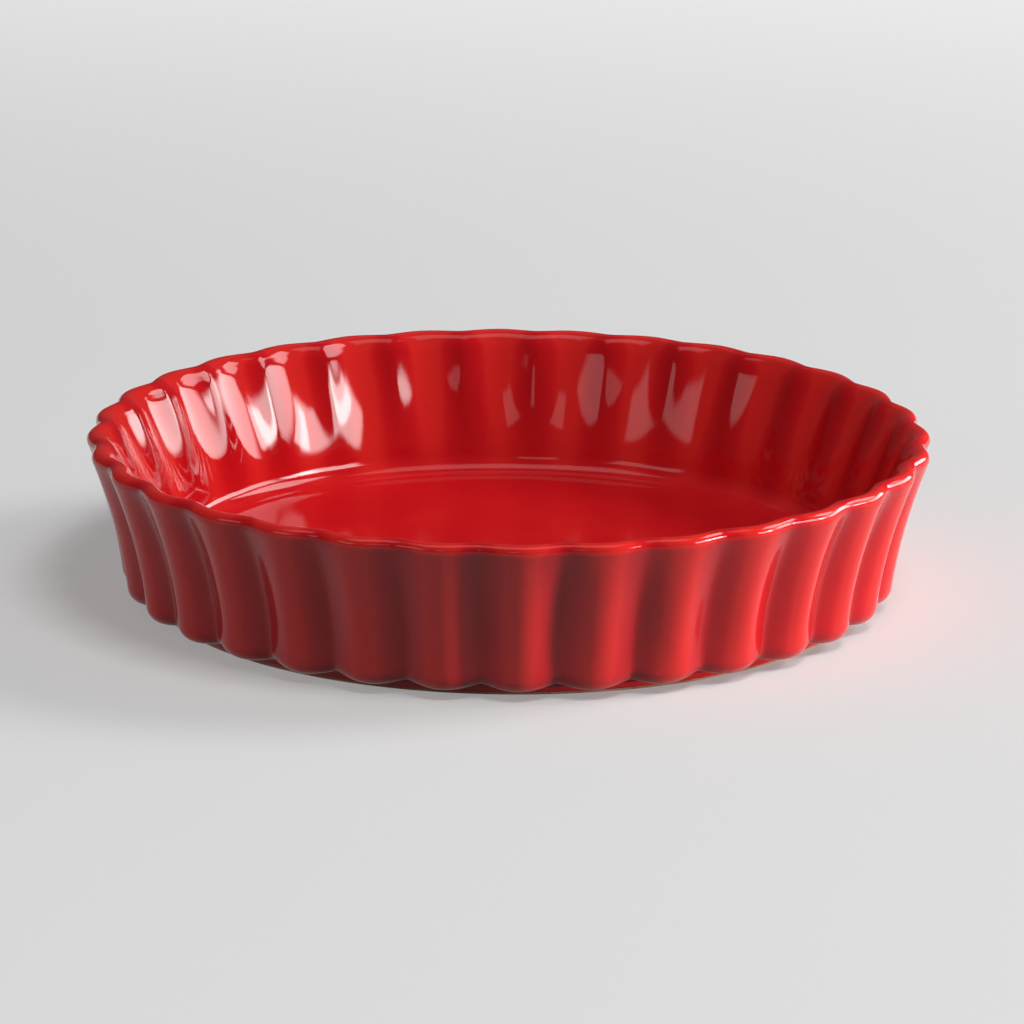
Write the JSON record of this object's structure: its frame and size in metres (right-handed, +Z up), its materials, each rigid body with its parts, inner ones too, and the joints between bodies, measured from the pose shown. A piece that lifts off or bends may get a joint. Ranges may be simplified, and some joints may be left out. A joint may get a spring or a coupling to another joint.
{
  "type": "pie dish",
  "caption": "Round fluted ceramic pie dish with a flaring scalloped wall, rolled wavy rim, flat floor and a recessed foot ring, glazed in glossy red.",
  "frame": {"origin": "on the table, under the middle of the dish", "axes": "+Z up along the dish's axis; one flute's crest faces -Y and, as the flutes divide by four, others face +X, +Y and -X"},
  "size_m": [0.28, 0.28, 0.055],
  "materials": {
    "fired_clay": "matte, unglazed",
    "red_glaze": "high gloss"
  },
  "bodies": {
    "root": {"clay_body": "fired_clay", "glaze_coat": "red_glaze", "base_glaze": "red_glaze"}
  },
  "joints": []
}
